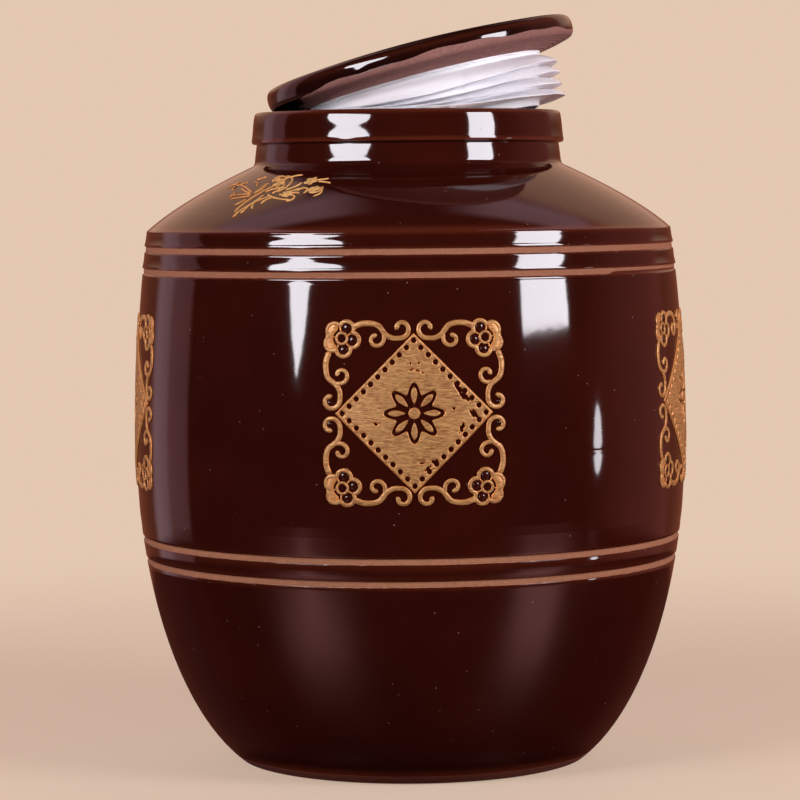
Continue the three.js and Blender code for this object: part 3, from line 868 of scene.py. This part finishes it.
def ridge(path, width, height, closed=False, bulb=1.0):
    """A half-round section along a path: across = width/2 cos s, up = height sin s above a sunk base.
    A pair of widths runs evenly from the first point to the last."""
    if closed:
        ahead = np.roll(path, -1, 0) - np.roll(path, 1, 0)
    else:
        ahead = np.gradient(path, axis=0)
    ahead = ahead / np.linalg.norm(ahead, axis=1, keepdims=True)
    normal = np.stack([-ahead[:, 1], ahead[:, 0]], -1)
    run = run_along(path)
    breadth = np.interp(run / run[-1], [0, 1], np.broadcast_to(width, 2))
    swell = 1 + (bulb - 1) * bell(run, run[-1] - 0.8, 1.3)
    round_off = np.ones_like(run)
    if not closed:
        gap = np.minimum(run, run[-1] - run) / (breadth / 2)
        round_off = np.sqrt(np.clip(1 - (1 - np.minimum(gap, 1)) ** 2, 0.02, 1))
    section = np.linspace(0, np.pi, 9)
    across = np.concatenate([np.cos(section), [-0.8, 0.8]]) / 2
    up = np.concatenate([height * np.sin(section) ** 0.8, [RIDGE_BASE, RIDGE_BASE]])
    size = (swell * round_off)[:, None]
    middle = path[:, None, :] + normal[:, None, :] * (across * size * breadth[:, None])[..., None]
    lift = np.where(up > 0, up * np.minimum(size, 1.15), up)
    rings = np.concatenate([middle, lift[..., None]], -1)
    if closed:
        return ring_part(rings)
    ends = np.append(path[[0, -1]], [[0.0], [0.0]], 1)
    return ring_part(rings, ends[0], ends[1])


short_ridge = ridge(flowing([(0, 0), (5, 1), (9, 0)], 12), 1.9, 0.7)
print("a short ridge has", len(short_ridge[0]), "points")

# %% [markdown]
# ## Scrolls and corner flowers
# Round each diamond runs a square of scrollwork: a flower in each corner, with two arms that leave it
# thick, throw off a small curl and end in a large one. Only one corner is drawn. Its second arm is the
# first one mirrored across the corner's diagonal, and the other three corners are mirror images. Short
# spokes part the flower's petals, and its two outer lobes are filled, as the slip slumped there.

# %% Draw one corner
FLOWER, PETAL_TURN, PETAL_PITCH = np.array([-32.1, 32.8]), -9, 72
SLIP = 0.72
SLUMP_WIDTH, OUTLINE_WIDTH, EYE_WIDTH, SPOKE_WIDTH = 3.6, 1.8, 1.2, 0.75
MIRRORS = ((1, 1), (-1, 1), (1, -1), (-1, -1))
lobes = full_turn(100)
round_flower = towards(lobes)
petal_line = 5.3 + 2.7 * np.abs(np.cos(2.5 * (lobes - np.radians(PETAL_TURN)))) ** 0.7
flower_outline = FLOWER + petal_line[:, None] * round_flower
eye = FLOWER + 2.45 * round_flower[::3]
notches = np.radians(PETAL_TURN + PETAL_PITCH * (np.arange(5) + 0.5))
spokes = [FLOWER + np.linspace(2.8, 5.4, 8)[:, None] * towards(notch) for notch in notches]
slump = curl(FLOWER, 5.7, 5.7, 108, 242, 24)
arm = np.vstack([
    [(-27.4, 37.6), (-23.0, 39.2), (-18.8, 39.3), (-15.6, 38.3), (-13.8, 36.2), (-12.2, 34.3), (-9.4, 32.9)],
    curl((-5.7, 37.2), 4.45, 1.3, -100, 205),
])
side_curl = np.vstack([[(-13.2, 34.9)], curl((-16.8, 32.5), 3.8, 1.2, 15, -290)])


def across_diagonal(path):
    """Mirrors a path of the upper left corner across that corner's diagonal: (u, v) becomes (-v, -u)."""
    return -path[:, ::-1]


arms = [(arm, (2.7, 1.8)), (side_curl, (1.9, 1.7))]
arms = arms + [(across_diagonal(knots), widths) for knots, widths in arms]
print("one corner has", len(arms), "strokes and a flower of", len(lobes), "points")

# %% [markdown]
# ## Scrollwork on the belly
# The corner's strokes become ridges, mirrored into all four corners. The same flat set is then wrapped
# on the belly at each medallion's turn.

# %% Set the scrollwork on the belly
scroll_parts = []
for mirror in MIRRORS:
    for knots, widths in arms:
        scroll_parts.append(ridge(flowing(knots, 84) * mirror, widths, SLIP, bulb=1.3))
    scroll_parts.append(ridge(slump * mirror, SLUMP_WIDTH, 0.8 * SLIP))
    scroll_parts.append(ridge(flower_outline * mirror, OUTLINE_WIDTH, SLIP, closed=True))
    scroll_parts.append(ridge(eye * mirror, EYE_WIDTH, SLIP, closed=True))
    for spoke in spokes:
        scroll_parts.append(ridge(spoke * mirror, SPOKE_WIDTH, 0.7 * SLIP))
flat_scrolls = np.vstack([points for points, _, _ in scroll_parts])
for side, side_turn in PANEL_TURNS.items():
    parts = wrapped(scroll_parts, on_belly, side_turn)
    make_piece("scrollwork_" + side, parts, gold_paint, "jar", "gilt", spot_mm=flat_scrolls)

# %% [markdown]
# ## Beads of glaze
# Inside the flowers' open lobes, and in the upright arms' end curls, the glaze gathered in small flat
# domes. Each one mirrors the lamps, which gives the flowers their tiny white glints.

# %% Set the glaze beads
BEAD_HEIGHT, LOBE_BEAD, CURL_BEAD = 0.5, 1.6, 1.0
dome = np.linspace(0.05, 1, 6)[:, None] * np.pi / 2
ring = full_turn(14)
bead_place = (np.sin(dome) * np.cos(ring), np.sin(dome) * np.sin(ring), BEAD_HEIGHT * np.cos(dome))
bead_flat = np.stack(np.broadcast_arrays(*bead_place), -1)
open_lobes = np.radians(PETAL_TURN + PETAL_PITCH * np.array([0, 1, 4]))
bead_spots = [(spot, LOBE_BEAD) for spot in FLOWER + 5.2 * towards(open_lobes)]
bead_spots.append((np.array([-37.7, 4.6]), CURL_BEAD))
glaze_parts = []
for mirror in MIRRORS:
    for middle, breadth in bead_spots:
        rings = bead_flat * [breadth, breadth, 1]
        flat_bead, quads, fans = ring_part(rings, [0, 0, BEAD_HEIGHT], [0, 0, -0.3])
        glaze_parts.append((flat_bead + [*(middle * mirror), 0], quads, fans))
count = sum(len(points) for points, _, _ in glaze_parts)
covered = {"bare_mm": np.full(count, COVERED), "thin_glaze": np.zeros(count)}
for side, side_turn in PANEL_TURNS.items():
    parts = wrapped(glaze_parts, on_belly, side_turn)
    make_piece("glaze_beads_" + side, parts, jar_glaze, "jar", "glaze", **covered)

# %% [markdown]
# ## Sprigs on the shoulder
# On the shoulder lies a loose spray. It is drawn flat in millimetres: across from its foot, and up the
# slope from the edge. Wrapping it takes the slope's own point and normal at that distance. The jar has
# a second spray on its far side.

# %% Wrap on the shoulder
slope = np.vstack([edge_start, bend(edge_start, crown, NECK_BASE, 400)])
slope_run = run_along(slope)
slope_ahead = np.gradient(slope, axis=0)
slope_ahead = slope_ahead / np.linalg.norm(slope_ahead, axis=1, keepdims=True)
MID_SLOPE = 100.0


def on_shoulder(flat, turn):
    """The distance up gives a point of the slope and its normal. Across / mid radius is an angle."""
    across, up, height = flat.T
    r, z, dr, dz = (np.interp(up, slope_run, column) for column in (*slope.T, *slope_ahead.T))
    angle = np.radians(turn) + across / MID_SLOPE
    r = r + wobble(angle, z) + height * dz
    return round_z(r, angle, z - height * dr)


print("the slope is", round(slope_run[-1], 1), "mm long")

# %% [markdown]
# ## Strokes of the sprig
# A slip trailer draws each line in one sweep, so each stroke is an even bend: where it starts, which
# way it heads, how long it is and how far it turns. Lines leave the foot close together, leaves go out
# to the left, and tendrils, loops and most of the five blossoms crowd the right, where the gold was
# laid on thickest.

# %% Draw the sprig
SPRIG_FOOT, SPRIG_RISE, STROKE_POINTS = -43.0, 0.42, 18


def sweep(across, up, heading, length, turn):
    """An even bend: the heading grows from heading to heading + turn, in degrees, along the length."""
    headings = np.radians(heading + turn * np.linspace(0, 1, STROKE_POINTS))
    ahead = towards(headings) * length / STROKE_POINTS
    return [across, up] + np.vstack([[0, 0], np.cumsum(ahead, 0)])


# Each stroke as across, up, heading, length and turn.
STROKES = (
    (-2, 14, 96, 25, -42), (0, 10, 92, 21, -60), (2, 13, 86, 16, -8), (6, 29, -32, 17, 30),
    (20, 23, 0, 9, 190), (-4, 28, 198, 12, -6), (-5, 29, 172, 14, 30), (-18, 31, 250, 5, 60),
    (-4, 25, 255, 6, -25), (-6, 30, 163, 14, -8), (-3, 30, 108, 10, -40), (-3, 31, 62, 8, 55),
    (-6, 31, 152, 21, 14), (6, 17, 135, 9, -65), (8, 21, 98, 6, -75), (3, 31, 58, 12, -80),
    (8, 30, 55, 9, 50), (10, 31, 50, 22, 130), (14, 33, 30, 9, 50), (-4, 46, 18, 11, -60),
    (4, 42, 58, 12, -58), (-2, 41, 36, 8, -40), (26, 42, 18, 7, -10), (28, 41, -6, 8, -14),
    (21, 32, 84, 11, -220), (26, 31, 82, 18, -235), (28, 31, -34, 10, 160), (13, 29, -28, 6, 75),
    (17, 29, 42, 7, -70), (14, 30, 26, 9, 8), (-34, 35, 96, 8, -90), (-28, 37, 40, 8, -30),
    (-17, 43, 36, 6, -10), (-9, 37, 120, 8, 60), (-24, 33, 150, 7, -60),
)
BLOSSOMS = ((23.5, 41.5, 3.0), (5.0, 39.5, 2.8), (29.5, 33.5, 2.2), (17.5, 29.0, 2.0), (-1.0, 43.5, 1.8))
sprig_parts = [ridge(sweep(*stroke), (1.2, 0.9), SPRIG_RISE) for stroke in STROKES]
bloom = round_flower[::2]
five_lobed = (0.8 + 0.3 * np.cos(5 * lobes[::2]))[:, None] * bloom
for across, up, size in BLOSSOMS:
    sprig_parts.append(ridge([across, up] + size * five_lobed, 1.1, SPRIG_RISE, closed=True))
    sprig_parts.append(ridge([across, up] + 0.35 * size * bloom[::2], 0.9, SPRIG_RISE, closed=True))
flat_sprig = np.vstack([points for points, _, _ in sprig_parts])
thicker = np.interp(flat_sprig[:, 0], (-15, 15), (0.02, 0.3))
painted = flat_sprig + thicker[:, None] * [0, 0, 1]
for name, sprig_turn in (("left", SPRIG_FOOT), ("back", SPRIG_FOOT + 180)):
    parts = wrapped(sprig_parts, on_shoulder, sprig_turn)
    make_piece("shoulder_sprig_" + name, parts, line_gold, "jar", "gilt", spot_mm=painted)

# %% [markdown]
# ## Floor and backdrop
# The jar stands on a plain pale floor that runs into a pale backdrop of the same warm tone. The camera
# sees it half lit by itself, and wholly so further out, so that it takes a soft shadow and shows no
# horizon. The glaze sees it as a dark polished table that ends half a metre away, which keeps the lower
# belly deep brown and lets the walls show low down on the jar's sides.

# %% Lay the floor
BACKDROP = "#e4c8b1"
FLOOR_RADIUS, FLOOR_THICK, FLOOR_COLUMNS = 7000.0, 30.0, 96
floor_mesh = bpy.data.meshes.new("floor")
slab = np.array([[0, -FLOOR_THICK], [FLOOR_RADIUS, -FLOOR_THICK], [FLOOR_RADIUS, 0], [600, 0], [0, 0]])
floor_points, floor_quads, floor_fans = lathe(slab, FLOOR_COLUMNS)
floor_mesh.from_pydata((floor_points * MM).tolist(), [], floor_quads.tolist() + floor_fans.tolist())
add_object("floor", floor_mesh)

matte, tree = new_material("pale_matte_floor")
place = node(tree, "TexCoord").outputs["Object"]
distance = node(tree, "VectorMath", {0: place}, operation="LENGTH")
spread = {"Value": distance, "From Min": 0.2, "From Max": 0.9, "To Min": 0.5, "To Max": 1.0}
far = node(tree, "MapRange", spread, **EASED)
near = node(tree, "BsdfPrincipled", {"Base Color": linear("#e6d2bc"), "Roughness": 0.8})
haze = node(tree, "Emission", {"Color": linear(BACKDROP), "Strength": 1.0})
pale = node(tree, "MixShader", {0: far, 1: near, 2: haze})
beyond = node(tree, "MapRange", {"Value": distance, "From Min": 0.5, "From Max": 0.62})
polished = node(tree, "BsdfAnisotropic", {"Color": linear("#684845"), "Roughness": 0.36})
clear = node(tree, "BsdfTransparent")
table = node(tree, "MixShader", {0: beyond, 1: polished, 2: clear})
seen = node(tree, "LightPath").outputs["Is Camera Ray"]
whole = node(tree, "MixShader", {0: seen, 1: table, 2: pale})
node(tree, "OutputMaterial", {"Surface": whole})
floor_mesh.materials.append(matte)
print("floor of", len(floor_quads) + len(floor_fans), "faces")

# %% [markdown]
# ## Room light
# The camera sees the backdrop's own colour. What the glaze mirrors is the room: a tan wall behind the
# jar, brown low down and dark in its middle, a rosy wall on the left, a rust wall on the right that
# reaches further forward, a pale lilac curtain that hangs low on the left and stays high on the right,
# a dark ceiling, and a dark studio in front, which keeps the glaze deep brown.

# %% Light the room
world = bpy.data.worlds.new("room")
bpy.context.scene.world = world
world.use_nodes = True
tree = world.node_tree
tree.nodes.clear()
heading = node(tree, "TexCoord").outputs["Object"]
ways = node(tree, "SeparateXYZ", {"Vector": heading})
rightward, ahead, upward = (ways.outputs[axis] for axis in "XYZ")
depth = node(tree, "Math", {0: upward, 1: 0.14, 2: ahead}, operation="MULTIPLY_ADD")
hand = node(tree, "MapRange", {"Value": rightward, "From Min": -0.5, "From Max": 0.5}, **EASED)
wall_start = node(tree, "Math", {0: hand, 1: -0.55, 2: 0.22}, operation="MULTIPLY_ADD")
aside = node(tree, "MapRange", {"Value": depth, "From Min": wall_start, "From Max": 0.28}, **EASED)
behind = node(tree, "MapRange", {"Value": depth, "From Min": 0.64, "From Max": 0.76}, **EASED)
off_middle = node(tree, "Math", {0: rightward}, operation="ABSOLUTE")
beside = node(tree, "MapRange", {"Value": off_middle, "From Min": 0.06, "From Max": 0.25}, **EASED)
limit = node(tree, "Math", {0: beside, 1: -0.72, 2: upward}, operation="MULTIPLY_ADD")
overhead = node(tree, "MapRange", {"Value": limit, "From Min": 0.0, "From Max": 0.1}, **EASED)
flanks = node(tree, "Mix", {0: hand, 6: linear("#c48d92"), 7: linear("#ad6056")}, **RGBA)
sides = node(tree, "Mix", {0: aside, 6: linear("#1d1412"), 7: flanks}, **RGBA)
level = node(tree, "MapRange", {"Value": upward, "From Min": 0.04, "From Max": 0.2}, **EASED)
back_wall = node(tree, "Mix", {0: level, 6: linear("#8a4c38"), 7: linear("#eab497")}, **RGBA)
walls = node(tree, "Mix", {0: behind, 6: sides, 7: back_wall}, **RGBA)
room = node(tree, "Mix", {0: overhead, 6: walls, 7: linear("#2c1c19")}, **RGBA)

near_back = node(tree, "MapRange", {"Value": depth, "From Min": 0.46, "From Max": 0.54}, **EASED)
far_back = node(tree, "MapRange", {"Value": depth, "From Min": 0.74, "From Max": 0.64}, **EASED)
above = node(tree, "Math", {0: hand, 1: -1.0, 2: upward}, operation="MULTIPLY_ADD")
high = node(tree, "MapRange", {"Value": above, "From Min": -0.34, "From Max": -0.26}, **EASED)
curtain = high
for share in (near_back, far_back, beside):
    curtain = node(tree, "Math", {0: curtain, 1: share}, operation="MULTIPLY")
lilac = node(tree, "Mix", {0: curtain, 6: room, 7: linear("#e6b8c2")}, **RGBA)
mirrored_room = node(tree, "Background", {"Color": lilac, "Strength": 1.0})
wall_seen = node(tree, "Background", {"Color": linear(BACKDROP), "Strength": 1.0})
camera_ray = node(tree, "LightPath").outputs["Is Camera Ray"]
mixed = node(tree, "MixShader", {0: camera_ray, 1: mirrored_room, 2: wall_seen})
node(tree, "OutputWorld", {"Surface": mixed})
print("room of", len(tree.nodes), "nodes")

# %% [markdown]
# ## Lamps
# A plain upright softbox stands to the right of the camera, and a small low lamp further round on that
# side shows as a short streak across the seam. A weak fill beside the camera reaches under the lid and
# another lights the far side. Both fills are kept out of the reflections.

# %% Set the softboxes
LAMP_WHITE, SOFTBOX_GLOW, SOFTBOX_AWAY = "#fcf8ff", 20.0, 1.1


def softbox(name, azimuth, width, low, high, radiance, shape="RECTANGLE", away=SOFTBOX_AWAY, mirrored=True):
    """An upright lamp facing the jar. A lamp of radiance L and area A takes pi * L * A watts."""
    lamp = bpy.data.lights.new(name, "AREA")
    lamp.shape = shape
    lamp.size, lamp.size_y = width, high - low
    share = np.pi / 4 if shape == "ELLIPSE" else 1.0
    lamp.energy = np.pi * radiance * width * (high - low) * share
    lamp.color = linear(LAMP_WHITE)[:3]
    stand = add_object(name, lamp)
    stand.visible_glossy = mirrored
    face_jar = Matrix.Rotation(np.radians(azimuth), 4, "Z") @ Matrix.Rotation(np.radians(90), 4, "X")
    spot = round_z(away, np.radians(azimuth), (low + high) / 2)
    stand.matrix_world = Matrix.Translation(spot) @ face_jar
    print(name, "gives", round(lamp.energy, 1), "W")


softbox("softbox_right", 55.5, 0.40, 0.29, 0.74, SOFTBOX_GLOW)
softbox("low_lamp_right", 78.3, 0.08, 0.02, 0.15, 12, "ELLIPSE")
softbox("front_fill", 12, 0.6, 0.03, 0.33, 4.0, away=1.5, mirrored=False)
softbox("back_fill", 172, 0.9, 0.3, 0.9, 3.0, away=1.5, mirrored=False)

# %% [markdown]
# ## Left softbox
# The left softbox tapers to a tip below and is wide at the top, so it shows as a spike on the belly and
# flares on every strip, collar and neck that leans back. No lamp has that outline, so this one is a
# glowing sheet: one column of faces whose width is a function of height. Its back is dark, and the
# camera doesn't see it.

# %% Hang the glowing sheet
SHEET_TURN, SHEET_ROWS = np.radians(-44), 54
SHEET_HEIGHTS = (0.215, 0.25, 0.3, 0.36, 0.42, 0.46, 0.5, 0.54, 0.62, 0.73)
SHEET_WIDTHS = (0.01, 0.06, 0.115, 0.15, 0.19, 0.26, 0.42, 0.56, 0.66, 0.66)
rows = np.linspace(SHEET_HEIGHTS[0], SHEET_HEIGHTS[-1], SHEET_ROWS)
half = np.interp(rows, SHEET_HEIGHTS, SHEET_WIDTHS) / 2
across = half[:, None] * [np.cos(SHEET_TURN), np.sin(SHEET_TURN), 0]
middle = round_z(SOFTBOX_AWAY, SHEET_TURN, rows)
first = np.arange(SHEET_ROWS - 1)
sheet_quads = np.stack([first, first + 1, first + 1 + SHEET_ROWS, first + SHEET_ROWS], -1)
sheet_mesh = bpy.data.meshes.new("softbox_left")
sheet_mesh.from_pydata(np.vstack([middle - across, middle + across]).tolist(), [], sheet_quads.tolist())
sheet = add_object("softbox_left", sheet_mesh)
sheet.visible_camera = False

glowing, tree = new_material("glowing_white_nylon")
back = node(tree, "NewGeometry").outputs["Backfacing"]
lit_side = node(tree, "Math", {0: back, 1: -SOFTBOX_GLOW, 2: SOFTBOX_GLOW}, operation="MULTIPLY_ADD")
glow = node(tree, "Emission", {"Color": linear(LAMP_WHITE), "Strength": lit_side})
node(tree, "OutputMaterial", {"Surface": glow})
sheet_mesh.materials.append(glowing)
print("glowing sheet of", len(sheet_quads), "faces")
